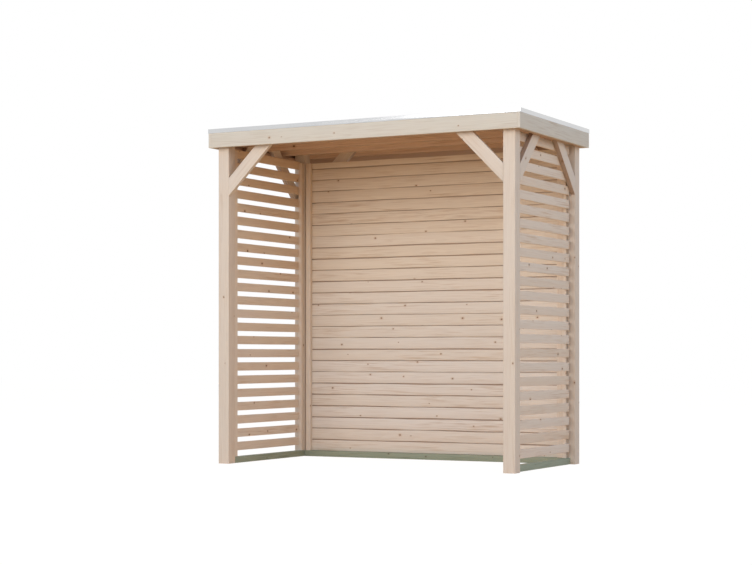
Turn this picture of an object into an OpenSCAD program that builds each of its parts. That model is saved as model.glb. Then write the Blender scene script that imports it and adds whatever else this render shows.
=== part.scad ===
// Open garden pavilion: four timber posts, slatted sides, a boarded rear wall
// and a flat roof with a fascia and a metal edge trim.
// X runs along the front, Y runs from the open front to the rear wall, Z is up.
// The origin is on the ground, in the middle of the four posts.

/* [Overall] */
// Width over the outside of the posts
width = 2350; // [1800:10:3200]
// Depth over the outside of the posts
depth = 1190; // [1000:10:1800]
// Height from the ground to the top of the edge trim
height = 2440; // [2100:10:2800]

/* [Posts] */
// Side of the square posts
post = 88; // [80:1:120]
// Planed chamfer along the edges of the posts, sills and beams
ease = 3; // [1:0.5:5]

/* [Sills] */
// Height of the ground sills
sill_h = 46; // [35:1:70]

/* [Side panels] */
// Height of one slat
slat_h = 62; // [45:1:90]
// Open gap between two slats
slat_gap = 36; // [20:1:50]
// Thickness of the slats
slat_t = 19; // [15:1:24]
// Open gap between the sill and the lowest slat
first_gap = 43; // [10:1:60]
// Gap between the end of a slat and the post
slat_end_gap = 20; // [5:1:30]
// Width of the upright battens
batten_w = 40; // [30:1:60]
// Thickness of the battens behind the slats
slat_batten_t = 28; // [22:1:34]
// How far these battens are set in from the faces of the posts
slat_batten_in = 4; // [1:1:12]

/* [Rear wall] */
// Thickness of the battens in front of the wall boards
wall_batten_t = 32; // [25:1:40]
// Thickness of the wall boards
board_t = 19; // [15:1:24]
// Gap between the wall, with its battens, and the posts
board_end_gap = 12; // [3:1:25]
// Open gap from the top of the wall and of all battens up to the underside of the joists
wall_top_gap = 44; // [20:1:120]

/* [Braces] */
// Width of the knee braces
brace_w = 90; // [60:1:110]
// Distance from the post to the brace's lower edge, at the foot of the fascia
brace_reach = 350; // [250:5:400]
// Clearance between a brace and the slats or boards beside it
brace_gap = 3; // [1:1:6]
// Distance from the top end of a brace up to the roof boards
brace_top_gap = 25; // [10:1:50]

/* [Roof] */
// Overhang of the roof at each side, from the post to the fascia's face
side_overhang = 56; // [45:1:80]
// Overhang of the roof at the front and rear
front_overhang = 48; // [42:1:80]
// Height of the fascia boards
fascia_h = 121; // [115:1:160]
// Thickness of the fascia boards
fascia_t = 20; // [16:1:25]
// Thickness of the roof boards
deck_t = 18; // [15:1:22]
// Width of the joists
joist_w = 45; // [35:1:60]
// Height of the joists
joist_h = 68; // [50:1:78]
// Distance between the centres of the joists
joist_spacing = 318; // [250:1:330]
// Thickness of the roof covering
covering_t = 3; // [2:0.5:5]

/* [Edge trim] */
// Height of the trim's visible face
trim_h = 31; // [25:1:45]
// How far the trim's face laps down over the fascia
trim_lap = 16; // [8:1:20]
// Thickness of the trim's sheet
trim_t = 2; // [1:0.5:3]
// Width of the trim's raised edge
trim_nose = 16; // [12:1:20]
// Width of the trim's flange on the roof covering
trim_flange = 29; // [15:1:45]

/* [Hidden] */
deck_top = height - (trim_h - trim_lap);
deck_bottom = deck_top - deck_t;
joist_bottom = deck_bottom - joist_h;
fascia_bottom = deck_top - fascia_h;
half_w = width / 2;
half_d = depth / 2;
// outer faces of the fascia boards
roof_x = half_w + side_overhang;
roof_y = half_d + front_overhang;
// inner faces of the fascia boards
inner_x = roof_x - fascia_t;
inner_y = roof_y - fascia_t;
// faces of the posts that look into the pavilion
open_x = half_w - post;
open_y = half_d - post;
// outer faces of the slats and of the wall boards, set in from the posts' faces
slat_face = open_x + slat_batten_in + slat_batten_t + slat_t;
board_face = open_y + wall_batten_t + board_t;
panel_top = joist_bottom - wall_top_gap;
brace_t_side = half_w - slat_face - brace_gap;
brace_t_end = half_d - board_face - brace_gap;
slat_pitch = slat_h + slat_gap;
slat_bottom = sill_h + first_gap;
slat_count = floor((joist_bottom - slat_bottom + slat_gap) / slat_pitch);
slat_ease = 1.5;
trim_bevel = 8;
timber_colour = "#dcc9b2";
shaded_colour = "#c9a98a";
treated_colour = "#8c8f76";
trim_colour = "#dcdcda";
covering_colour = "#3c3e40";

// cross-section with planed edges, from the origin to w, h
module section(w, h, c) {
    polygon([[c, 0], [w - c, 0], [w, c], [w, h - c], [w - c, h], [c, h], [0, h - c], [0, c]]);
}

// timber standing upright, with its lower corner at the origin
module upright(w, d, l, c) {
    linear_extrude(l) section(w, d, c);
}

// timber lying along X, with its lower corner at the origin
module along_x(l, d, h, c) {
    rotate([90, 0, 90]) linear_extrude(l) section(d, h, c);
}

// timber lying along Y, with its lower corner at the origin
module along_y(w, l, h, c) {
    translate([0, l, 0]) rotate([90, 0, 0]) linear_extrude(l) section(w, h, c);
}

// draws its children on the side that sx and sy name, -1 or 1
module on_side(sx, sy) {
    mirror([sx < 0 ? 1 : 0, 0, 0]) mirror([0, sy < 0 ? 1 : 0, 0]) children();
}

module corner_post(sx, sy) {
    color(timber_colour) on_side(sx, sy)
        translate([open_x, open_y, 0]) upright(post, post, deck_bottom, ease);
}

module side_sill(sx) {
    color(treated_colour) on_side(sx, 1)
        translate([open_x, -open_y, 0]) along_y(slat_face - open_x, 2 * open_y, sill_h, ease);
}

module rear_sill() {
    color(treated_colour)
        translate([-open_x, open_y, 0]) along_x(2 * open_x, board_face - open_y, sill_h, ease);
}

// upright batten on a post, behind the ends of the slats
module side_batten(sx, sy) {
    color(shaded_colour) on_side(sx, sy)
        translate([open_x + slat_batten_in, open_y - batten_w, sill_h])
            upright(slat_batten_t, batten_w, panel_top - sill_h, slat_ease);
}

// upright batten in front of the ends of the wall boards, level with them
module rear_batten(sx) {
    color(shaded_colour) on_side(sx, 1)
        translate([open_x - board_end_gap - batten_w, open_y, sill_h])
            upright(batten_w, wall_batten_t, panel_top - sill_h, slat_ease);
}

module side_slats(sx) {
    slat_l = 2 * (open_y - slat_end_gap);
    color(timber_colour) on_side(sx, 1)
        for (i = [0 : slat_count - 1])
            translate([slat_face - slat_t, -slat_l / 2, slat_bottom + i * slat_pitch])
                along_y(slat_t, slat_l, slat_h, slat_ease);
}

module rear_wall() {
    wall_l = 2 * (open_x - board_end_gap);
    color(timber_colour)
        translate([-wall_l / 2, open_y + wall_batten_t, sill_h])
            cube([wall_l, board_t, panel_top - sill_h]);
}

// knee brace in its own plane: u runs out from the post, v is the height
module brace_outline() {
    foot = fascia_bottom - brace_reach;
    top = deck_bottom - brace_top_gap;
    rise = brace_w * sqrt(2);
    polygon([[0, foot], [top - foot, top], [top - foot - rise, top], [0, foot + rise]]);
}

// brace in the plane of the front or rear posts
module end_brace(sx, sy) {
    color(timber_colour) on_side(sx, sy)
        translate([open_x, half_d, 0]) mirror([1, 0, 0]) rotate([90, 0, 0])
            linear_extrude(brace_t_end) brace_outline();
}

// brace in the plane of the side posts, outside the slats
module side_brace(sx, sy) {
    color(timber_colour) on_side(sx, sy)
        translate([half_w - brace_t_side, open_y, 0]) mirror([0, 1, 0]) rotate([90, 0, 90])
            linear_extrude(brace_t_side) brace_outline();
}

// rail on the outer faces of the side posts, which carries the joists' ends
module side_rail(sx) {
    color(shaded_colour) on_side(sx, 1)
        translate([half_w, -inner_y, fascia_bottom])
            along_y(inner_x - half_w, 2 * inner_y, joist_bottom - fascia_bottom, slat_ease);
}

// rail on the outer faces of the front or rear posts, across the side rails
module end_rail(sy) {
    color(shaded_colour) on_side(1, sy)
        translate([-inner_x, half_d, joist_bottom])
            along_x(2 * inner_x, inner_y - half_d, joist_h, slat_ease);
}

module joist(place) {
    color(shaded_colour)
        translate([-inner_x, place * joist_spacing - joist_w / 2, joist_bottom])
            along_x(2 * inner_x, joist_w, joist_h, slat_ease);
}

module roof_deck() {
    color(shaded_colour)
        translate([-inner_x, -inner_y, deck_bottom]) cube([2 * inner_x, 2 * inner_y, deck_t]);
}

module roof_covering() {
    cover_x = roof_x - trim_nose;
    cover_y = roof_y - trim_nose;
    color(covering_colour)
        translate([-cover_x, -cover_y, deck_top]) cube([2 * cover_x, 2 * cover_y, covering_t]);
}

// fascia board between the side fascias
module end_fascia(sy) {
    color(timber_colour) on_side(1, sy)
        translate([-inner_x, inner_y, fascia_bottom])
            along_x(2 * inner_x, fascia_t, fascia_h, slat_ease);
}

module side_fascia(sx) {
    color(timber_colour) on_side(sx, 1)
        translate([inner_x, -roof_y, fascia_bottom])
            along_y(fascia_t, 2 * roof_y, fascia_h, slat_ease);
}

// profile of the edge trim: x = 0 is the fascia's face, y = 0 the top of the deck
module trim_profile() {
    rise = trim_h - trim_lap;
    shelf = covering_t + trim_t;
    polygon([
        [0, -trim_lap], [trim_t, -trim_lap], [trim_t, rise], [trim_bevel - trim_nose, rise],
        [-trim_nose, shelf], [-trim_nose - trim_flange, shelf],
        [-trim_nose - trim_flange, covering_t], [-trim_nose, covering_t],
        [-trim_nose, 0], [0, 0]
    ]);
}

// trim along the edge at distance out, half as long as half_l each way, mitred at both ends
module trim_run(out, half_l) {
    inset = trim_nose + trim_flange;
    far = half_l + trim_t;
    intersection() {
        translate([-far, -out, deck_top]) rotate([90, 0, 90])
            linear_extrude(2 * far) mirror([1, 0]) trim_profile();
        translate([0, 0, deck_top - trim_lap - 1]) linear_extrude(trim_h + 2)
            polygon([
                [-far, -out - trim_t], [far, -out - trim_t],
                [far - inset - trim_t, -out + inset], [-far + inset + trim_t, -out + inset]
            ]);
    }
}

module end_trim(sy) {
    color(trim_colour) rotate([0, 0, sy < 0 ? 0 : 180]) trim_run(roof_y, roof_x);
}

module side_trim(sx) {
    color(trim_colour) rotate([0, 0, sx < 0 ? -90 : 90]) trim_run(roof_x, roof_y);
}

corner_post(-1, -1);  // front_left_post
corner_post(1, -1);  // front_right_post
corner_post(-1, 1);  // rear_left_post
corner_post(1, 1);  // rear_right_post
side_sill(-1);  // left_sill
side_sill(1);  // right_sill
rear_sill();
side_batten(-1, -1);  // left_front_batten
side_batten(-1, 1);  // left_rear_batten
side_batten(1, -1);  // right_front_batten
side_batten(1, 1);  // right_rear_batten
rear_batten(-1);  // rear_left_batten
rear_batten(1);  // rear_right_batten
side_slats(-1);  // left_slats
side_slats(1);  // right_slats
rear_wall();
end_brace(-1, -1);  // front_left_brace
end_brace(1, -1);  // front_right_brace
end_brace(-1, 1);  // rear_left_brace
end_brace(1, 1);  // rear_right_brace
side_brace(-1, -1);  // left_front_brace
side_brace(-1, 1);  // left_rear_brace
side_brace(1, -1);  // right_front_brace
side_brace(1, 1);  // right_rear_brace
side_rail(-1);  // left_rail
side_rail(1);  // right_rail
end_rail(-1);  // front_rail
end_rail(1);  // rear_rail
joist(-1);  // front_joist
joist(0);  // middle_joist
joist(1);  // rear_joist
roof_deck();
roof_covering();
end_fascia(-1);  // front_fascia
end_fascia(1);  // rear_fascia
side_fascia(-1);  // left_fascia
side_fascia(1);  // right_fascia
end_trim(-1);  // front_trim
end_trim(1);  // rear_trim
side_trim(-1);  // left_trim
side_trim(1);  // right_trim
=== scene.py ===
import math

import bpy
import numpy as np
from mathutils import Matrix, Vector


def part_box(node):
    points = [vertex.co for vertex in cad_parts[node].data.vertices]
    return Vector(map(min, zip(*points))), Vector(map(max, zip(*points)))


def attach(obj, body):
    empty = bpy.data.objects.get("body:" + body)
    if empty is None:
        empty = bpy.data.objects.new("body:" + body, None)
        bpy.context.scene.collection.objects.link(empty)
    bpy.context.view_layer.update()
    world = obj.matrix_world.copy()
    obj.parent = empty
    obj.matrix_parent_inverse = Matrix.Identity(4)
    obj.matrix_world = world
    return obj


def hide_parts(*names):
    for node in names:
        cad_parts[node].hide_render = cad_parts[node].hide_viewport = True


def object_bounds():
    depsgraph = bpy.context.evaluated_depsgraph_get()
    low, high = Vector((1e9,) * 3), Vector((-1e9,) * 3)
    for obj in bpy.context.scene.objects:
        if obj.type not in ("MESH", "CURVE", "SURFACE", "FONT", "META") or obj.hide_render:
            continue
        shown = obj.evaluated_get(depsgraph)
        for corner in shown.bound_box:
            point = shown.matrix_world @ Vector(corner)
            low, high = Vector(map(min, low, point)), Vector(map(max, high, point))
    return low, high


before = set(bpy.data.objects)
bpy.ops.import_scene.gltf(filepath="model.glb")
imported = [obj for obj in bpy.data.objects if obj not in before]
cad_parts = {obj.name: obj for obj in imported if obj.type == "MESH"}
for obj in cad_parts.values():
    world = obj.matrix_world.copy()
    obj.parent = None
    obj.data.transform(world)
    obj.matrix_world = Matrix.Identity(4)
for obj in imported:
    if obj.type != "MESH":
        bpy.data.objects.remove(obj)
cadLow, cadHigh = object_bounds()
mm = 0.001
print("frame loaded, nodes:", len(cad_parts))


# Small helpers for the materials.

def colour(hexText, alpha=1.0):
    # sRGB hex to linear: c / 12.92 below 0.04045, else ((c + 0.055) / 1.055) to the power 2.4
    parts = np.array([int(hexText[i:i + 2], 16) for i in (0, 2, 4)]) / 255
    linear = np.where(parts <= 0.04045, parts / 12.92, ((parts + 0.055) / 1.055) ** 2.4)
    return (*linear.tolist(), alpha)


def addNode(tree, kind, inputs=None, **settings):
    # adds a node; an input takes a plain value, a socket, or another node's first output
    node = tree.nodes.new("ShaderNode" + kind)
    for key, value in settings.items():
        setattr(node, key, value)
    for key, value in (inputs or {}).items():
        if isinstance(value, bpy.types.Node):
            value = value.outputs[0]
        if isinstance(value, bpy.types.NodeSocket):
            tree.links.new(value, node.inputs[key])
        else:
            node.inputs[key].default_value = value
    return node


def newMaterial(name):
    material = bpy.data.materials.new(name)
    material.use_nodes = True
    material.node_tree.nodes.clear()
    return material, material.node_tree


def cellSize(along, across, through):
    # multiplier that makes one cell of a pattern this large, from millimetres
    return (1000 / along, 1000 / across, 1000 / through)


# Timber: one recipe, several finishes, some of them with painted shade.

# where the roof, the slats and the rear wall shade the timber, for the painted shade below: heights, and the
# depths of slats and wall
roofShadeZone = {"low": 0.8, "high": 2.2, "aside": (1.121, 1.135), "back": (0.546, 0.556)}


def timber(name, look):
    # Softwood, sawn and planed: pale early wood, thin darker late wood in rings round the pith,
    # fine fibre streaks along the board, and small tight knots that the rings bend round.
    # Attribute "grain" holds (along, across, across) from the pith in metres, "faceMap" is unrolled.
    material, tree = newMaterial(name)
    grain = addNode(tree, "Attribute", attribute_name="grain").outputs["Vector"]
    tone = addNode(tree, "Attribute", attribute_name="tone").outputs["Fac"]
    cutAndShadeAmount = addNode(tree, "Attribute", attribute_name="cut").outputs["Fac"]
    face = addNode(tree, "UVMap", uv_map="faceMap")

    # knots: one to a cell of the unrolled face, with distance, size and presence of its own
    along, across = look["knotSpacing"]
    cell = addNode(tree, "VectorMath", {0: face, 1: cellSize(along, across, 1000)}, operation="MULTIPLY")
    spots = addNode(tree, "TexVoronoi", {"Vector": cell, "Scale": 1.0, "Randomness": 0.9},
                    voronoi_dimensions="2D")
    away = addNode(tree, "VectorMath", {0: cell, 1: spots.outputs["Position"]}, operation="SUBTRACT")
    away = addNode(tree, "VectorMath", {0: away, 1: (along * mm * 0.75, across * mm, 0.0)},
                   operation="MULTIPLY")
    away = addNode(tree, "VectorMath", {0: away}, operation="LENGTH").outputs["Value"]
    chance = addNode(tree, "SeparateColor", {0: spots.outputs["Color"]})
    low, high = look["knotRadius"]
    radius = addNode(tree, "MapRange", {0: chance.outputs[0], 3: low * mm, 4: high * mm})
    there = addNode(tree, "Math", {0: chance.outputs[1], 1: 1 - look["knotShare"]},
                    operation="GREATER_THAN")
    ragged = addNode(tree, "TexNoise", {"Vector": grain, "Scale": 160.0, "Detail": 2.0})
    ragged = addNode(tree, "MapRange", {0: ragged, 1: 0.25, 2: 0.75, 3: 0.75, 4: 1.25})
    ratio = addNode(tree, "Math", {0: away, 1: radius}, operation="DIVIDE")
    ratio = addNode(tree, "Math", {0: ratio, 1: ragged}, operation="MULTIPLY")
    knot = addNode(tree, "MapRange", {0: ratio, 1: 0.8, 2: 1.1, 3: 1.0, 4: 0.0},
                   interpolation_type="SMOOTHSTEP")
    knot = addNode(tree, "Math", {0: knot, 1: there}, operation="MULTIPLY")
    halo = addNode(tree, "MapRange", {0: ratio, 1: 0.9, 2: 3.4, 3: 1.0, 4: 0.0},
                   interpolation_type="SMOOTHSTEP")
    halo = addNode(tree, "Math", {0: halo, 1: there}, operation="MULTIPLY")

    # growth rings: distance from the pith, warped slowly along the board, pushed out at the knots
    flat = addNode(tree, "VectorMath", {0: grain, 1: (0.0, 1.0, 1.0)}, operation="MULTIPLY")
    ring = addNode(tree, "VectorMath", {0: flat}, operation="LENGTH").outputs["Value"]
    warpPlace = addNode(tree, "VectorMath", {0: grain, 1: cellSize(520, 95, 95)}, operation="MULTIPLY")
    warp = addNode(tree, "TexNoise", {"Vector": warpPlace, "Scale": 1.0, "Detail": 2.0})
    warp = addNode(tree, "MapRange", {0: warp, 3: -look["warp"] * mm, 4: look["warp"] * mm})
    ring = addNode(tree, "Math", {0: ring, 1: warp}, operation="ADD")
    swell = addNode(tree, "Math", {0: halo, 1: 5 * mm, 2: ring}, operation="MULTIPLY_ADD")
    turns = addNode(tree, "Math", {0: swell, 1: look["ringWidth"] * mm}, operation="DIVIDE")
    part = addNode(tree, "Math", {0: turns}, operation="FRACT")
    rise = addNode(tree, "Math", {0: part, 1: 2.2}, operation="POWER")
    fall = addNode(tree, "MapRange", {0: part, 1: 0.88, 2: 1.0, 3: 1.0, 4: 0.0})
    late = addNode(tree, "Math", {0: rise, 1: fall}, operation="MULTIPLY")

    # fibres a few millimetres wide, and darker streaks that gather in patches
    fibrePlace = addNode(tree, "VectorMath", {0: grain, 1: cellSize(420, 4.5, 4.5)}, operation="MULTIPLY")
    fibre = addNode(tree, "TexNoise", {"Vector": fibrePlace, "Scale": 1.0, "Detail": 3.0, "Roughness": 0.6})
    fibre = addNode(tree, "MapRange", {0: fibre, 1: 0.3, 2: 0.7, 3: 0.0, 4: 1.0})
    streakPlace = addNode(tree, "VectorMath", {0: grain, 1: cellSize(230, 8.5, 8.5)}, operation="MULTIPLY")
    streak = addNode(tree, "TexNoise", {"Vector": streakPlace, "Scale": 1.0, "Detail": 3.0})
    streak = addNode(tree, "MapRange", {0: streak, 1: 0.48, 2: 0.74, 3: 0.0, 4: 1.0})
    patchPlace = addNode(tree, "VectorMath", {0: grain, 1: cellSize(800, 150, 150)}, operation="MULTIPLY")
    patch = addNode(tree, "TexNoise", {"Vector": patchPlace, "Scale": 1.0, "Detail": 1.0})
    patch = addNode(tree, "MapRange", {0: patch, 1: 0.42, 2: 0.66, 3: 0.25, 4: 1.0})
    streak = addNode(tree, "Math", {0: streak, 1: patch}, operation="MULTIPLY")

    amount = addNode(tree, "Math", {0: late, 1: look["ringDepth"]}, operation="MULTIPLY")
    amount = addNode(tree, "Math", {0: fibre, 1: look["fibreDepth"], 2: amount}, operation="MULTIPLY_ADD")
    amount = addNode(tree, "Math", {0: streak, 1: look["streakDepth"], 2: amount}, operation="MULTIPLY_ADD",
                     use_clamp=True)
    wood = addNode(tree, "MixRGB", {0: amount, 1: colour(look["early"]), 2: colour(look["late"])})
    toned = addNode(tree, "MapRange", {0: tone, 1: -1.0, 2: 1.0, 3: 0.0, 4: look["toneDepth"]})
    wood = addNode(tree, "MixRGB", {0: toned, 1: wood, 2: colour(look["warm"])})
    glow = addNode(tree, "Math", {0: halo, 1: look["haloDepth"]}, operation="MULTIPLY")
    wood = addNode(tree, "MixRGB", {0: glow, 1: wood, 2: colour(look["halo"])})
    heart = addNode(tree, "Math", {0: away, 1: 1.4 * mm}, operation="DIVIDE")
    heart = addNode(tree, "Math", {0: heart}, operation="FRACT")
    heart = addNode(tree, "MixRGB", {0: heart, 1: colour(look["knotDark"]), 2: colour(look["knotPale"])})
    wood = addNode(tree, "MixRGB", {0: knot, 1: wood, 2: heart})
    # painted shade: under the roof, inside the slats and in front of the rear wall, the timber is tinted
    # darker and warmer towards the top, standing in for the shade and the warm light bounced there
    place = addNode(tree, "SeparateXYZ", {0: addNode(tree, "TexCoord").outputs["Object"]})
    roofShade = addNode(tree, "MapRange", {0: place.outputs["Z"], 1: roofShadeZone["low"], 2: roofShadeZone["high"],
                                       3: 0.0, 4: look["roofShadeDepth"]}, interpolation_type="SMOOTHSTEP")
    aside = addNode(tree, "Math", {0: place.outputs["X"]}, operation="ABSOLUTE")
    for offset, (near, far) in ((aside, roofShadeZone["aside"]), (place.outputs["Y"], roofShadeZone["back"])):
        inside = addNode(tree, "MapRange", {0: offset, 1: near, 2: far, 3: 1.0, 4: 0.0})
        roofShade = addNode(tree, "Math", {0: roofShade, 1: inside}, operation="MULTIPLY")
    wood = addNode(tree, "MixRGB", {0: roofShade, 1: wood, 2: colour(look["roofShade"])}, blend_type="MULTIPLY")
    # real cuts and painted shade: the attribute "cut" darkens the wood towards each look's end-grain colour,
    # for real end grain and rough joint faces, and as painted shade on faces that lie in shade
    ends = addNode(tree, "Math", {0: cutAndShadeAmount, 1: look["cutAndShadeDepth"]}, operation="MULTIPLY")
    wood = addNode(tree, "MixRGB", {0: ends, 1: wood, 2: colour(look["endGrainAndShade"])})

    height = addNode(tree, "Math", {0: late, 1: look["ringRelief"]}, operation="MULTIPLY")
    height = addNode(tree, "Math", {0: fibre, 1: look["fibreRelief"], 2: height}, operation="MULTIPLY_ADD")
    relief = addNode(tree, "Bump", {"Height": height, "Strength": 1.0, "Distance": mm})
    gloss = addNode(tree, "MapRange", {0: late, 3: look["roughness"] + 0.05, 4: look["roughness"] - 0.08})
    shader = addNode(tree, "BsdfPrincipled", {"Base Color": wood, "Roughness": gloss, "IOR": 1.5,
                                              "Normal": relief})
    addNode(tree, "OutputMaterial", {0: shader})
    return material


planedSpruceLook = {
    "early": "e7d7c3", "late": "c09b76", "warm": "dbbf9f", "halo": "bf966e",
    "knotDark": "6a452d", "knotPale": "a07856", "endGrainAndShade": "ab8660",
    "knotSpacing": (330, 95), "knotRadius": (1.6, 5.4), "knotShare": 0.4,
    "ringWidth": 5.5,  # real rings are 2 to 3 mm, drawn wider so that they show at this distance
    "warp": 14, "ringDepth": 0.17, "fibreDepth": 0.14, "streakDepth": 0.7, "toneDepth": 0.3,
    "roofShade": "fff6e7", "roofShadeDepth": 0.0, "haloDepth": 0.5, "cutAndShadeDepth": 0.65,
    "ringRelief": 0.12, "fibreRelief": 0.08, "roughness": 0.6,
}
frameSpruceLook = dict(planedSpruceLook, ringDepth=0.14, streakDepth=0.34, toneDepth=0.25, knotShare=0.3,
                       endGrainAndShade="dcc9b1")
# planed outside; on the faces turned in the wood is darkened as painted shade
fasciaSpruceLook = dict(frameSpruceLook, early="dfd6c4", late="b69a7b", warm="d2bea2", endGrainAndShade="b58257",
                        ringDepth=0.2, streakDepth=0.55)
# braces: this darker brown colours their ends, and is painted shade on the edges of all but the front pair
braceSpruceLook = dict(frameSpruceLook, endGrainAndShade="94694a")
# battens: this dark brown colours their ends, and is painted shade on the face behind the slats
battenSpruceLook = dict(frameSpruceLook, early="efdfcb", warm="e2c7a8", endGrainAndShade="5e4632",
                        roofShadeDepth=0.75)
wallSpruceLook = dict(planedSpruceLook, early="f0e4d4", late="c2a07e", warm="e2ccae", halo="c49e75",
                      endGrainAndShade="a27657", roofShadeDepth=1.0)
slatSpruceLook = dict(planedSpruceLook, early="f0dfca", late="c8a17a", warm="e2c6a6", halo="ca9f74",
                      toneDepth=0.5, knotDark="4e301d", knotPale="7d573b", knotRadius=(2.2, 7),
                      knotShare=0.42, roofShadeDepth=1.0)
# rough-sawn roof timber: rougher, and browner and darker than the planed timber, partly its own colour and
# partly painted shade for the timber under the roof
sawnShadedSpruceLook = dict(planedSpruceLook, early="e9cbb0", late="b78d6d", warm="d7b08b", endGrainAndShade="a57a4e",
                      knotDark="4a2d1a", knotPale="6f4a30", knotRadius=(3, 7.5), knotShare=0.5,
                      ringRelief=0.2, fibreRelief=0.3, roughness=0.75, fibreDepth=0.28)
treatedPineLook = dict(planedSpruceLook, early="9fa58c", late="6f765c", warm="8a8d70", halo="75694a",
                       knotDark="453c28", knotPale="5f5538", endGrainAndShade="6f7358")

frameSpruce = timber("planedFrameSpruce", frameSpruceLook)
fasciaSpruce = timber("planedFasciaSpruce", fasciaSpruceLook)
braceSpruce = timber("planedBraceSpruce", braceSpruceLook)
battenSpruce = timber("planedBattenSpruce", battenSpruceLook)
wallSpruce = timber("planedWallSpruce", wallSpruceLook)
slatSpruce = timber("planedSlatSpruce", slatSpruceLook)
sawnShadedSpruce = timber("sawnShadedSpruce", sawnShadedSpruceLook)
treatedPine = timber("pressureTreatedPine", treatedPineLook)


def millAluminium(name):
    # Extruded aluminium, left as it comes from the mill: pale grey, half matt, with drawing lines
    # along its length a millimetre or two apart, drawn wider here so that they show.
    material, tree = newMaterial(name)
    place = addNode(tree, "Attribute", attribute_name="grain").outputs["Vector"]
    lines = addNode(tree, "VectorMath", {0: place, 1: cellSize(700, 3, 3)}, operation="MULTIPLY")
    lines = addNode(tree, "TexNoise", {"Vector": lines, "Scale": 1.0, "Detail": 2.0})
    clouds = addNode(tree, "VectorMath", {0: place, 1: cellSize(260, 60, 60)}, operation="MULTIPLY")
    clouds = addNode(tree, "TexNoise", {"Vector": clouds, "Scale": 1.0, "Detail": 3.0})
    tint = addNode(tree, "MixRGB", {0: clouds, 1: colour("c9cacc"), 2: colour("d6d6d6")})
    rough = addNode(tree, "MapRange", {0: lines, 1: 0.3, 2: 0.7, 3: 0.1, 4: 0.16})
    relief = addNode(tree, "Bump", {"Height": lines, "Strength": 0.3, "Distance": 0.2 * mm})
    shader = addNode(tree, "BsdfPrincipled", {"Base Color": tint, "Metallic": 1.0, "Roughness": rough,
                                              "Normal": relief})
    addNode(tree, "OutputMaterial", {0: shader})
    return material


def rubberMembrane(name):
    # Rubber roofing sheet, calendered: dark grey, dull, with a fine pebbled face and dusty clouds.
    material, tree = newMaterial(name)
    place = addNode(tree, "TexCoord").outputs["Object"]
    pebble = addNode(tree, "TexNoise", {"Vector": place, "Scale": 1000 / 2.5, "Detail": 2.0})
    dust = addNode(tree, "TexNoise", {"Vector": place, "Scale": 1000 / 300, "Detail": 4.0})
    dust = addNode(tree, "MapRange", {0: dust, 1: 0.35, 2: 0.7, 3: 0.0, 4: 1.0})
    tint = addNode(tree, "MixRGB", {0: dust, 1: colour("3b3a38"), 2: colour("585652")})
    relief = addNode(tree, "Bump", {"Height": pebble, "Strength": 0.5, "Distance": 0.3 * mm})
    shader = addNode(tree, "BsdfPrincipled", {"Base Color": tint, "Roughness": 0.72, "IOR": 1.52,
                                              "Normal": relief})
    addNode(tree, "OutputMaterial", {0: shader})
    return material


def stainlessSteel(name):
    # Countersunk wood screws, stainless and cold headed: mid grey with a soft shine.
    material, tree = newMaterial(name)
    place = addNode(tree, "TexCoord").outputs["Object"]
    wear = addNode(tree, "TexNoise", {"Vector": place, "Scale": 1000 / 1.5, "Detail": 1.0})
    rough = addNode(tree, "MapRange", {0: wear, 3: 0.3, 4: 0.5})
    tint = addNode(tree, "MixRGB", {0: wear, 1: colour("9a9b9c"), 2: colour("b9babb")})
    shader = addNode(tree, "BsdfPrincipled", {"Base Color": tint, "Metallic": 1.0, "Roughness": rough})
    addNode(tree, "OutputMaterial", {0: shader})
    return material


edgeAluminium = millAluminium("millAluminium")
roofRubber = rubberMembrane("rubberMembrane")
screwSteel = stainlessSteel("stainlessSteel")
print("materials made")


# Shapes: profiles carried along straight paths.

faceReach = 0.4 * mm  # profile points this close to a board's face belong to that face

def roundCorners(corners, radius, steps=3):
    # a corner c becomes (1-s)^2 (c + r u) + 2 s (1-s) c + s^2 (c + r v) for s from 0 to 1,
    # where u and v point to the corners before and after
    corners = np.asarray(corners, float)
    radius = np.broadcast_to(radius, len(corners))[:, None, None]
    before = np.roll(corners, 1, 0) - corners
    after = np.roll(corners, -1, 0) - corners
    before /= np.linalg.norm(before, axis=1)[:, None]
    after /= np.linalg.norm(after, axis=1)[:, None]
    s = np.linspace(0, 1, steps + 1)[None, :, None]
    c = corners[:, None]
    bend = (1 - s) ** 2 * (c + radius * before[:, None]) + 2 * s * (1 - s) * c
    return (bend + s ** 2 * (c + radius * after[:, None])).reshape(-1, 2)


def rectangle(wide, high, radius):
    x, y = wide / 2, high / 2
    return roundCorners([(-x, -y), (x, -y), (x, y), (-x, y)], radius)


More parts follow.
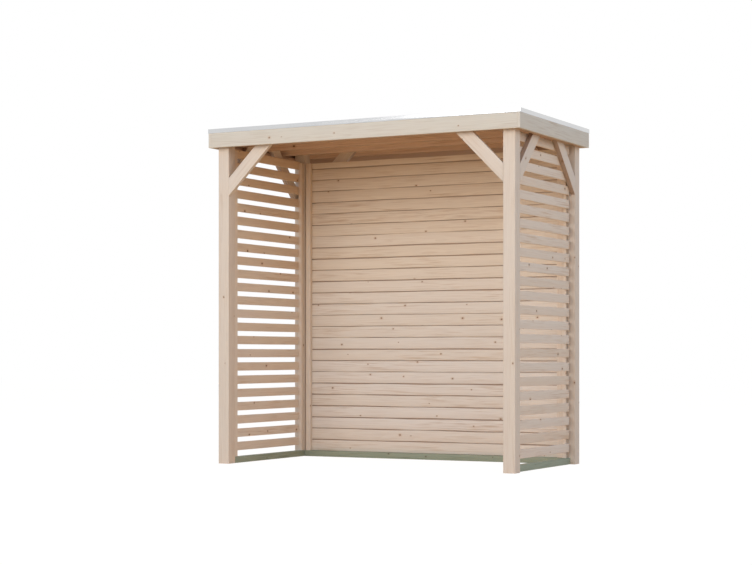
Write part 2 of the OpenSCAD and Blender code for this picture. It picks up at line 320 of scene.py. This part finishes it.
def carry(profile, start, end, up, draw, cuts=(None, None), rows=8, endEase=1.2 * mm, bow=0.0, wander=0.0,
          pith=0.045, milled=0.0, sawnEnds=1.0):
    # A board: a point is start + t along + a side + b up + bow sin(pi t / length), with (a, b) round the
    # profile and t between the two end cuts; b also wanders by a sum of three slow sines of t.
    # The first and last rows are drawn in to ease the sawn ends.
    start, end, up = (np.asarray(v, float) for v in (start, end, up))
    length = np.linalg.norm(end - start)
    along = (end - start) / length
    side = np.cross(up, along)
    edge = np.roll(profile, -1, 0) - profile
    normal = np.stack([edge[:, 1], -edge[:, 0]], 1) / np.linalg.norm(edge, axis=1)[:, None]
    last = np.roll(normal, 1, 0)
    mitre = (normal + last) / (1 + np.sum(normal * last, 1))[:, None]
    drawnIn = profile - endEase * mitre
    n = len(profile)
    ring = np.repeat(profile[None], rows + 2, 0)
    ring[0] = ring[-1] = drawnIn
    first, final = np.zeros((rows + 2, n)), np.full((rows + 2, n), length)
    for limit, cut in zip((first, final), cuts):
        if cut is not None:
            point, facing = (np.asarray(v, float) for v in cut)
            reach = start + ring[..., :1] * side + ring[..., 1:] * up
            limit[:] = ((point - reach) @ facing) / (along @ facing)
    s = np.concatenate([[0], np.linspace(0, 1, rows), [1]])[:, None]
    inner = np.concatenate([[0], np.full(rows, endEase), [0]])[:, None]
    t = first + inner + s * (final - first - 2 * inner)
    sag = np.sin(math.pi * t / length)[..., None] * (bow * draw.uniform(-1, 1, 2))
    waves = draw.uniform(2, 9, 3) * math.pi / length, draw.uniform(0, 2 * math.pi, 3)
    stray = wander * np.mean(np.sin(t[..., None] * waves[0] + waves[1]), 2, keepdims=True)
    a, b = ring[..., :1] + sag[..., :1], ring[..., 1:] + sag[..., 1:] + stray
    points = start + t[..., None] * along + a * side + b * up

    angle, shift = draw.uniform(0, 2 * math.pi), draw.uniform(0, 50, 3)
    grain = np.concatenate([t[..., None] + shift[0], ring[..., :1] + pith * math.cos(angle),
                            ring[..., 1:] + pith * math.sin(angle)], 2)
    i = np.arange(n)
    j = (i + 1) % n
    row = np.arange(rows + 1)[:, None] * n
    quads = np.stack([row + i, row + j, row + n + j, row + n + i], 2).reshape(-1, 4)
    around = np.concatenate([[0], np.cumsum(np.linalg.norm(edge, axis=1))])
    r = np.arange(rows + 1)[:, None]
    u = np.stack([t[r, i], t[r, j], t[r + 1, j], t[r + 1, i]], 2)
    v = np.stack(np.broadcast_arrays(around[i], around[i + 1], around[i + 1], around[i]), 1)
    v = np.broadcast_to(v, u.shape)
    capUv = np.concatenate([drawnIn[::-1], drawnIn])
    # the attribute "cut": real end grain on the end rows, and along the board what the caller marks, both
    # rough joint faces and painted shade
    cut = np.tile(np.broadcast_to(milled, n).astype(float), (rows + 2, 1))
    cut[[0, -1]] = sawnEnds
    return {
        "points": points.reshape(-1, 3), "grain": grain.reshape(-1, 3),
        "faces": quads.tolist() + [list(range(n))[::-1], list(range((rows + 1) * n, (rows + 2) * n))],
        "uv": np.concatenate([np.stack([u, v], 3).reshape(-1, 2), capUv]) + shift[1:],
        "tone": np.full(points.shape[0] * n, draw.uniform(-1, 1)),
        "cut": cut.ravel(),
    }


sharpAngle = 32  # degrees; edges that turn more than this stay crisp


def makePiece(name, boards, material, slot, *nodes):
    # joins the boards into one mesh, with their attributes, and sets it in the frame
    mesh = bpy.data.meshes.new(name)
    offsets = np.cumsum([0] + [len(b["points"]) for b in boards])
    faces = [[k + int(o) for k in f] for b, o in zip(boards, offsets) for f in b["faces"]]
    mesh.from_pydata(np.concatenate([b["points"] for b in boards]).tolist(), [], faces)
    faceMap = mesh.uv_layers.new(name="faceMap")
    faceMap.data.foreach_set("uv", np.concatenate([b["uv"] for b in boards]).astype(np.float32).ravel())
    grain = mesh.attributes.new("grain", "FLOAT_VECTOR", "POINT")
    grain.data.foreach_set("vector", np.concatenate([b["grain"] for b in boards]).astype(np.float32).ravel())
    for key in ("tone", "cut"):
        layer = mesh.attributes.new(key, "FLOAT", "POINT")
        layer.data.foreach_set("value", np.concatenate([b[key] for b in boards]).astype(np.float32))
    mesh.polygons.foreach_set("use_smooth", np.ones(len(mesh.polygons), bool))
    mesh.set_sharp_from_angle(angle=math.radians(sharpAngle))
    mesh.materials.append(material)
    return placePiece(bpy.data.objects.new(name, mesh), slot, *nodes)


def placePiece(piece, slot, *nodes):
    bpy.context.scene.collection.objects.link(piece)
    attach(piece, "root")
    if nodes:
        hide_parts(*nodes)
    return piece


def stick(node, axis, radius, draw, **options):
    # one straight timber that fills a node's box, running along axis 0, 1 or 2
    low, high = (np.array(v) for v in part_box(node))
    size = high - low
    start, end = (low + high) / 2, (low + high) / 2
    start[axis], end[axis] = low[axis], high[axis]
    a, b = ((1, 2), (0, 2), (0, 1))[axis]
    up = np.eye(3)[b]
    return carry(rectangle(size[a], size[b], radius), start, end, up, draw, **options)


# posts, square and planed, standing on the ground
posts = {"edgeRadius": 4 * mm, "seed": 11, "pith": 0.03}
draw = np.random.default_rng(posts["seed"])
for name in ("front_left_post", "front_right_post", "rear_left_post", "rear_right_post"):
    board = stick(name, 2, posts["edgeRadius"], draw, rows=12, pith=posts["pith"])
    makePiece(name.replace("_post", "PostTimber"), [board], frameSpruce, "post_timber", name)
print("posts made")

# ground sills, green from the pressure treatment
sills = {"edgeRadius": 3 * mm, "seed": 23}
draw = np.random.default_rng(sills["seed"])
for name, axis in (("left_sill", 1), ("right_sill", 1), ("rear_sill", 0)):
    board = stick(name, axis, sills["edgeRadius"], draw, rows=10)
    makePiece(name.replace("_sill", "SillTimber"), [board], treatedPine, "treated_sill", name)
print("sills made")

# battens: the uprights inside the posts that the slats and wall boards are screwed to; the face behind the
# slats is painted dark as shade, deepening towards the post, standing in for the shade in the recess there
battens = {"edgeRadius": 1.8 * mm, "shadeAtFront": 0.1, "seed": 31}
draw = np.random.default_rng(battens["seed"])
for name in ("left_front_batten", "left_rear_batten", "right_front_batten", "right_rear_batten",
             "rear_left_batten", "rear_right_batten"):
    low, high = (np.array(v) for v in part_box(name))
    outward = {"left": -1, "right": 1}.get(name.split("_")[0], 0)  # a runs along x here, b along y
    postSide = 1 if "rear_batten" in name else -1
    a, b = rectangle(high[0] - low[0], high[1] - low[1], battens["edgeRadius"]).T
    depth = 0.5 + postSide * b / (high[1] - low[1])
    # painted shade on the outward face, light at the front and full at the post
    cutAndShadeAmount = (a * outward > (high[0] - low[0]) / 2 - faceReach) * (
        battens["shadeAtFront"] + (1 - battens["shadeAtFront"]) * depth)
    board = stick(name, 2, battens["edgeRadius"], draw, rows=10, milled=cutAndShadeAmount)
    makePiece(name.replace("_batten", "BattenTimber"), [board], battenSpruce, "batten_timber", name)
print("battens made")

# slats of the side panels, evenly spaced up each side
slats = {"height": 62 * mm, "pitch": 98 * mm, "edgeRadius": 2.2 * mm, "bow": 0.7 * mm, "seed": 43}
draw = np.random.default_rng(slats["seed"])
for side in ("left", "right"):
    low, high = (np.array(v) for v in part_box(side + "_slats"))
    count = round((high[2] - low[2] - slats["height"]) / slats["pitch"]) + 1
    thick = high[0] - low[0]
    middle = (low[0] + high[0]) / 2
    profile = rectangle(thick, slats["height"], slats["edgeRadius"])
    boards = []
    for z in low[2] + slats["height"] / 2 + np.arange(count) * slats["pitch"]:
        boards.append(carry(profile, (middle, low[1], z), (middle, high[1], z), (0, 0, 1), draw,
                            bow=slats["bow"], rows=10))
    makePiece(side + "SlatBoards", boards, slatSpruce, "slat_timber", side + "_slats")
print("slats made")


def tongueProfile(cover, thick, joint, topTongue=True):
    # one board's section: a runs through the thickness, with the face side at -thick / 2, and b across it;
    # the tongue sits behind the middle, so the gap in front of it is deep and dark
    face, c, g = thick / 2, joint["chamfer"], joint["gap"]
    near, far, loose = joint["tongueFrom"], joint["tongueFrom"] + joint["tongue"], 0.2 * mm
    shoulder, slotDeep = cover - joint["rearGap"], joint["length"] + 3 * mm
    outline = [(-face, c), (c - face, 0), (near - loose, 0), (near - loose, slotDeep),
               (far + loose, slotDeep), (far + loose, 0), (face, 0)]
    if topTongue:
        outline += [(face, shoulder), (far, shoulder), (far, shoulder + joint["length"]),
                    (near, shoulder + joint["length"]), (near, cover - g), (c - face, cover - g),
                    (-face, cover - g - c)]
    else:
        outline += [(face, cover), (-face, cover)]
    return roundCorners(outline, 0.5 * mm, 1)


def boardRow(node, across, along, cover, joint, draw, **options):
    # boards side by side over a node's box, the last one ripped to what is left
    low, high = (np.array(v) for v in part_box(node))
    through = 3 - across - along
    thick = high[through] - low[through]
    total = high[across] - low[across]
    whole = int(total / cover)
    boards = []
    for k in range(whole + 1):
        wide = cover if k < whole else total - whole * cover
        if wide < joint["leastBoard"]:
            break
        gap = joint["gap"] + joint["uneven"] * draw.uniform(-1, 1)
        profile = tongueProfile(wide, thick, dict(joint, gap=gap), k < whole)
        start = np.zeros(3)
        start[across], start[through] = low[across] + k * cover, (low[through] + high[through]) / 2
        end = start.copy()
        start[along], end[along] = low[along], high[along]
        # the surfaces inside the joint are rough from the cutter, and darker
        milled = (np.abs(profile[:, 0]) < thick / 2 - 1.2 * mm).astype(float)
        boards.append(carry(profile, start, end, np.eye(3)[across], draw, milled=milled, **options))
    return boards


rearWall = {"cover": 88.2 * mm, "bow": 0.5 * mm, "wander": 2 * mm, "seed": 57}
wallJoint = {"chamfer": 2 * mm, "gap": 3.9 * mm, "uneven": 2.6 * mm, "tongue": 4.5 * mm,
             "tongueFrom": 0.5 * mm, "length": 8 * mm, "rearGap": 3 * mm, "leastBoard": 4 * mm}
draw = np.random.default_rng(rearWall["seed"])
boards = boardRow("rear_wall", 2, 0, rearWall["cover"], wallJoint, draw, rows=26, bow=rearWall["bow"],
                  wander=rearWall["wander"], pith=0.06)
makePiece("rearWallBoards", boards, wallSpruce, "wall_boards", "rear_wall")
print("wall boards made:", len(boards))

roofBoards = {"cover": 88.2 * mm, "seed": 61}
roofJoint = dict(wallJoint, gap=1.5 * mm, uneven=0.3 * mm, rearGap=0.8 * mm)
draw = np.random.default_rng(roofBoards["seed"])
boards = boardRow("roof_deck", 0, 1, roofBoards["cover"], roofJoint, draw, rows=6)
makePiece("roofBoards", boards, sawnShadedSpruce, "roof_boards", "roof_deck")
print("roof boards made:", len(boards))

# roof frame: rails over the posts and joists between them, darkened on their undersides as painted shade
roofFrame = {"edgeRadius": 2 * mm, "underShade": 0.9, "seed": 71}
draw = np.random.default_rng(roofFrame["seed"])
for name, axis in (("left_rail", 1), ("right_rail", 1), ("front_rail", 0), ("rear_rail", 0),
                   ("front_joist", 0), ("middle_joist", 0), ("rear_joist", 0)):
    low, high = (np.array(v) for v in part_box(name))
    size = high - low
    b = rectangle(size[1 - axis], size[2], roofFrame["edgeRadius"])[:, 1]  # b runs up here
    # painted shade on the underside
    under = roofFrame["underShade"] * (b < faceReach - size[2] / 2)
    board = stick(name, axis, roofFrame["edgeRadius"], draw, rows=10, milled=under)
    first, kind = name.split("_")
    makePiece(first + kind.title() + "Timber", [board], sawnShadedSpruce, "roof_timber", name)
print("roof frame made")

# fascia boards round the roof edge
fascias = {"edgeRadius": 2 * mm, "seed": 83}
draw = np.random.default_rng(fascias["seed"])
for name, axis, inward in (("front_fascia", 0, 1), ("rear_fascia", 0, -1),
                           ("left_fascia", 1, -1), ("right_fascia", 1, 1)):
    low, high = (np.array(v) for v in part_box(name))
    thick = (high - low)[1 - axis]
    a = rectangle(thick, high[2] - low[2], fascias["edgeRadius"])[:, 0]
    # painted shade: the face turned in is darkened
    cutAndShadeAmount = (a * inward > thick / 2 - faceReach).astype(float)
    board = stick(name, axis, fascias["edgeRadius"], draw, rows=12, milled=cutAndShadeAmount, sawnEnds=0.0)
    makePiece(name.replace("_fascia", "FasciaBoard"), [board], fasciaSpruce, "fascia_timber", name)
print("fascias made")

# knee braces, cut upright at the post and level at the top
braces = {"width": 90 * mm, "edgeRadius": 2.5 * mm, "seed": 97}
draw = np.random.default_rng(braces["seed"])
for name, run, x, y in (("front_left_brace", 0, -1, -1), ("front_right_brace", 0, 1, -1),
                        ("rear_left_brace", 0, -1, 1), ("rear_right_brace", 0, 1, 1),
                        ("left_front_brace", 1, -1, -1), ("left_rear_brace", 1, -1, 1),
                        ("right_front_brace", 1, 1, -1), ("right_rear_brace", 1, 1, 1)):
    low, high = (np.array(v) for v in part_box(name))
    outward = (x, y)[run]  # the brace leans away from its post, against this sign
    through = 1 - run
    half = braces["width"] / math.sqrt(2)
    start = (low + high) / 2
    start[run] = high[run] if outward > 0 else low[run]
    start[2] = low[2] + half
    reach = high[2] - start[2]
    end = start.copy()
    end[run] -= outward * reach
    end[2] = high[2]
    profile = rectangle(braces["width"], high[through] - low[through], braces["edgeRadius"])
    cuts = ((start, np.eye(3)[run]), (end, (0, 0, 1)))
    # the front pair is planed all round and left plain; on the others the edges are darkened as painted
    # shade
    cutAndShadeAmount = (np.abs(profile[:, 0]) > braces["width"] / 2 - faceReach) * float(run == 1 or y > 0)
    board = carry(profile, start, end, np.eye(3)[through], draw, cuts=cuts, rows=6, milled=cutAndShadeAmount)
    first, second, kind = name.split("_")
    makePiece(first + second.title() + "Brace", [board], braceSpruce, "brace_timber", name)
print("braces made")

# edge trim: one bent profile on each side, mitred at the corners
trims = {"sheet": 2 * mm, "rise": 15 * mm, "lap": 16 * mm, "nose": 16 * mm, "bevel": 8 * mm,
         "flange": 29 * mm, "cover": 3 * mm, "bend": 0.9 * mm, "seed": 101}
t, shelf = trims["sheet"], trims["cover"] + trims["sheet"]
outline = [(0, -trims["lap"]), (t, -trims["lap"]), (t, trims["rise"]),
           (trims["bevel"] - trims["nose"], trims["rise"]), (-trims["nose"], shelf),
           (-trims["nose"] - trims["flange"], shelf), (-trims["nose"] - trims["flange"], trims["cover"]),
           (-trims["nose"], trims["cover"]), (-trims["nose"], 0.3 * mm), (0, 0.3 * mm)]
outline = [(-out, up) for out, up in outline[::-1]]  # a runs inwards
trimProfile = roundCorners(outline, trims["bend"], 2)
draw = np.random.default_rng(trims["seed"])
roofX, roofY = cadHigh[0] - trims["sheet"], cadHigh[1] - trims["sheet"]
deckTop = cadHigh[2] - trims["rise"]
for name, start, end in (("front_trim", (-1, -1), (1, -1)), ("right_trim", (1, -1), (1, 1)),
                         ("rear_trim", (1, 1), (-1, 1)), ("left_trim", (-1, 1), (-1, -1))):
    a = np.array([start[0] * roofX, start[1] * roofY, deckTop])
    b = np.array([end[0] * roofX, end[1] * roofY, deckTop])
    # each mitre runs along the diagonal of its corner
    cuts = ((a, (start[1], -start[0], 0)), (b, (end[1], -end[0], 0)))
    board = carry(trimProfile, a, b, (0, 0, 1), draw, cuts=cuts, rows=8, endEase=0.25 * mm)
    makePiece(name.replace("_trim", "EdgeTrim"), [board], edgeAluminium, "edge_trim", name)
print("edge trim made")

# roof covering: one rubber sheet with a few low ripples
covering = {"steps": (90, 48), "ripple": 0.9 * mm, "sheet": 1.6 * mm, "edge": 12, "seed": 113}
draw = np.random.default_rng(covering["seed"])
low, high = (np.array(v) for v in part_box("roof_covering"))
u, v = np.meshgrid(np.linspace(0, 1, covering["steps"][0]), np.linspace(0, 1, covering["steps"][1]),
                   indexing="ij")
# height = base + ripple times the mean of six slow waves that cross the sheet in different directions,
# fading to nothing at the edges, where the trim's flange holds it down
waves = [np.sin(2 * math.pi * (u * p + v * q + s)) for p, q, s in
         zip(draw.uniform(-5, 5, 6), draw.uniform(-4, 4, 6), draw.uniform(0, 1, 6))]
fade = np.clip(np.minimum(np.minimum(u, 1 - u), np.minimum(v, 1 - v)) * covering["edge"], 0, 1)
top = low[2] + covering["sheet"] + covering["ripple"] * fade * (1 + np.mean(waves, 0))
grid = np.stack([low[0] + u * (high[0] - low[0]), low[1] + v * (high[1] - low[1]), top], 2)
m, n = covering["steps"]
index = np.arange(m * n).reshape(m, n)
quads = np.stack([index[:-1, :-1], index[1:, :-1], index[1:, 1:], index[:-1, 1:]], 2).reshape(-1, 4)
mesh = bpy.data.meshes.new("roofCoveringSheet")
mesh.from_pydata(grid.reshape(-1, 3).tolist(), [], quads.tolist())
mesh.polygons.foreach_set("use_smooth", np.ones(len(mesh.polygons), bool))
mesh.materials.append(roofRubber)
sheet = placePiece(bpy.data.objects.new("roofCoveringSheet", mesh), "roof_membrane", "roof_covering")
solid = sheet.modifiers.new("thickness", "SOLIDIFY")
solid.thickness, solid.offset = covering["sheet"] - 0.1 * mm, -1
print("roof covering made")


# screw heads, countersunk a little below the face
screws = {"radius": 4 * mm, "shank": 3 * mm, "sides": 12}


def screwHeads(name, places, facing, slot):
    # a head is a disc turned about its own axis: ring k has radius R f(k) and height h(k), and the
    # last ring closes on the centre; every head is the same disc moved to its place
    sides = screws["sides"]
    share = np.array([1.0, 0.93, 0.42, 0.34, 0.05])
    height = np.array([-0.2, 0.35, 0.45, -0.9, -1.0]) * mm
    angle = np.arange(sides) / sides * 2 * math.pi
    facing = np.asarray(facing, float)
    u = np.eye(3)[(np.argmax(np.abs(facing)) + 1) % 3]
    v = np.cross(facing, u)
    circle = np.cos(angle)[:, None] * u + np.sin(angle)[:, None] * v
    disc = screws["radius"] * share[:, None, None] * circle[None] + height[:, None, None] * facing
    disc = np.concatenate([disc[:1] - screws["shank"] * facing, disc]).reshape(-1, 3)
    rings = len(share) + 1
    i = np.arange(sides)
    j = (i + 1) % sides
    row = np.arange(rings - 1)[:, None] * sides
    quads = np.stack([row + i, row + j, row + sides + j, row + sides + i], 2).reshape(-1, 4).tolist()
    caps = [list(range(sides))[::-1], list(range((rings - 1) * sides, rings * sides))]
    places = np.asarray(places, float)
    points = (places[:, None] + disc[None]).reshape(-1, 3)
    faces = [[k + o for k in f] for o in range(0, len(points), len(disc)) for f in quads + caps]
    mesh = bpy.data.meshes.new(name)
    mesh.from_pydata(points.tolist(), [], faces)
    mesh.materials.append(screwSteel)
    return placePiece(bpy.data.objects.new(name, mesh), slot)


slatScrews = {"fromEnd": 10 * mm, "fromEdge": 15 * mm}
for side, x in (("left", -1), ("right", 1)):
    low, high = (np.array(v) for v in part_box(side + "_slats"))
    face = low[0] if x < 0 else high[0]
    count = round((high[2] - low[2] - slats["height"]) / slats["pitch"]) + 1
    z = low[2] + np.arange(count) * slats["pitch"]
    heights = np.concatenate([z + slatScrews["fromEdge"], z + slats["height"] - slatScrews["fromEdge"]])
    ends = np.array([low[1] + slatScrews["fromEnd"], high[1] - slatScrews["fromEnd"]])
    yy, zz = np.meshgrid(ends, heights, indexing="ij")
    places = np.stack([np.full(yy.size, face), yy.ravel(), zz.ravel()], 1)
    screwHeads(side + "SlatScrews", places, (x, 0, 0), "slat_timber")

low, high = (np.array(v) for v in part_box("rear_wall"))
wallScrews = {"fromEnd": 20 * mm}
# one screw at the middle of every board; the last board is ripped to the height that is left
whole = int((high[2] - low[2]) / rearWall["cover"])
z = low[2] + rearWall["cover"] * (np.arange(whole) + 0.5)
z = np.append(z, (low[2] + whole * rearWall["cover"] + high[2]) / 2)
xx, zz = np.meshgrid([low[0] + wallScrews["fromEnd"], high[0] - wallScrews["fromEnd"]], z, indexing="ij")
places = np.stack([xx.ravel(), np.full(xx.size, high[1]), zz.ravel()], 1)
screwHeads("rearWallScrews", places, (0, 1, 0), "wall_boards")
print("screws made")


# Studio: floor, light and camera.
studio = {
    "floorTint": "ebc190", "domeTint": "a9cdff", "domeStrength": 0.6,
    "aim": (0.0, 0.0, 1.2), "background": 1.0, "floorWhite": 0.9, "floorGlow": 1.09,
    "floorReach": 30, "floorLevel": -0.0006,
}
keyLamp = {"place": (-1.1, -11.8, 5.4), "size": 7.4, "power": 672.0, "tint": "ffffff"}
lowLamp = {"place": (-6.0, -11.0, 3.0), "size": 5.0, "power": 90.0, "tint": "ffffff"}
sideLamp = {"place": (11.0, -4.0, 6.0), "size": 6.0, "power": 360.0, "tint": "ffffff"}
backLamp = {"place": (0.5, 12.0, 4.5), "size": 7.0, "power": 330.0, "tint": "fff3e4"}


def paleRays(tree):
    # camera, glossy and transmission rays see the plain white surroundings
    path = addNode(tree, "LightPath")
    seen = addNode(tree, "Math", {0: path.outputs["Is Camera Ray"], 1: path.outputs["Is Glossy Ray"]},
                   operation="MAXIMUM")
    return addNode(tree, "Math", {0: seen, 1: path.outputs["Is Transmission Ray"]}, operation="MAXIMUM")


floorMaterial, tree = newMaterial("paleFloor")
floorShade = addNode(tree, "BsdfDiffuse", {"Color": colour(studio["floorTint"])})
floorGlow = addNode(tree, "Emission", {"Color": colour("ffffff"), "Strength": studio["floorGlow"]})
amount = addNode(tree, "Math", {0: paleRays(tree), 1: studio["floorWhite"]}, operation="MULTIPLY")
mixed = addNode(tree, "MixShader", {0: amount, 1: floorShade, 2: floorGlow})
addNode(tree, "OutputMaterial", {0: mixed})
floorMesh = bpy.data.meshes.new("floor")
floorCorners = [(x * studio["floorReach"], y * studio["floorReach"], studio["floorLevel"])
                for x, y in ((-1, -1), (1, -1), (1, 1), (-1, 1))]
floorMesh.from_pydata(floorCorners, [], [(0, 1, 2, 3)])
floorMesh.materials.append(floorMaterial)
floor = bpy.data.objects.new("floor", floorMesh)
bpy.context.scene.collection.objects.link(floor)

world = bpy.data.worlds.new("softDome")
world.use_nodes = True
tree = world.node_tree
tree.nodes.clear()
dome = addNode(tree, "Background", {"Color": colour(studio["domeTint"]), "Strength": studio["domeStrength"]})
plain = addNode(tree, "Background", {"Color": colour("ffffff"), "Strength": studio["background"]})
mixed = addNode(tree, "MixShader", {0: paleRays(tree), 1: dome, 2: plain})
addNode(tree, "OutputWorld", {0: mixed})
bpy.context.scene.world = world


def areaLamp(name, values, aim):
    lamp = bpy.data.lights.new(name, "AREA")
    lamp.size, lamp.energy, lamp.color = values["size"], values["power"], colour(values["tint"])[:3]
    holder = bpy.data.objects.new(name, lamp)
    bpy.context.scene.collection.objects.link(holder)
    direction = np.asarray(aim, float) - np.asarray(values["place"], float)
    flatLength = math.hypot(direction[0], direction[1])
    holder.location = values["place"]
    holder.rotation_euler = (math.atan2(flatLength, -direction[2]), 0,
                             math.atan2(-direction[0], direction[1]))
    return holder


areaLamp("keyLamp", keyLamp, studio["aim"])
areaLamp("lowLamp", lowLamp, studio["aim"]).visible_glossy = False  # its mirror image would fill the trim
areaLamp("sideLamp", sideLamp, studio["aim"])
areaLamp("backLamp", backLamp, studio["aim"]).visible_glossy = False

view = {"place": (5.7452, -11.2962, 0.7935), "turn": 27.707, "lens": 83.107, "sensor": 36,
        "shiftUp": 0.09627}
camera = bpy.data.objects.new("camera", bpy.data.cameras.new("camera"))
camera.data.lens, camera.data.sensor_width = view["lens"], view["sensor"]
camera.data.shift_y = view["shiftUp"]
camera.location = view["place"]
camera.rotation_euler = (math.radians(90), 0, math.radians(view["turn"]))
bpy.context.scene.collection.objects.link(camera)
bpy.context.scene.camera = camera
bpy.context.scene.view_settings.view_transform = "Standard"
print("studio made")
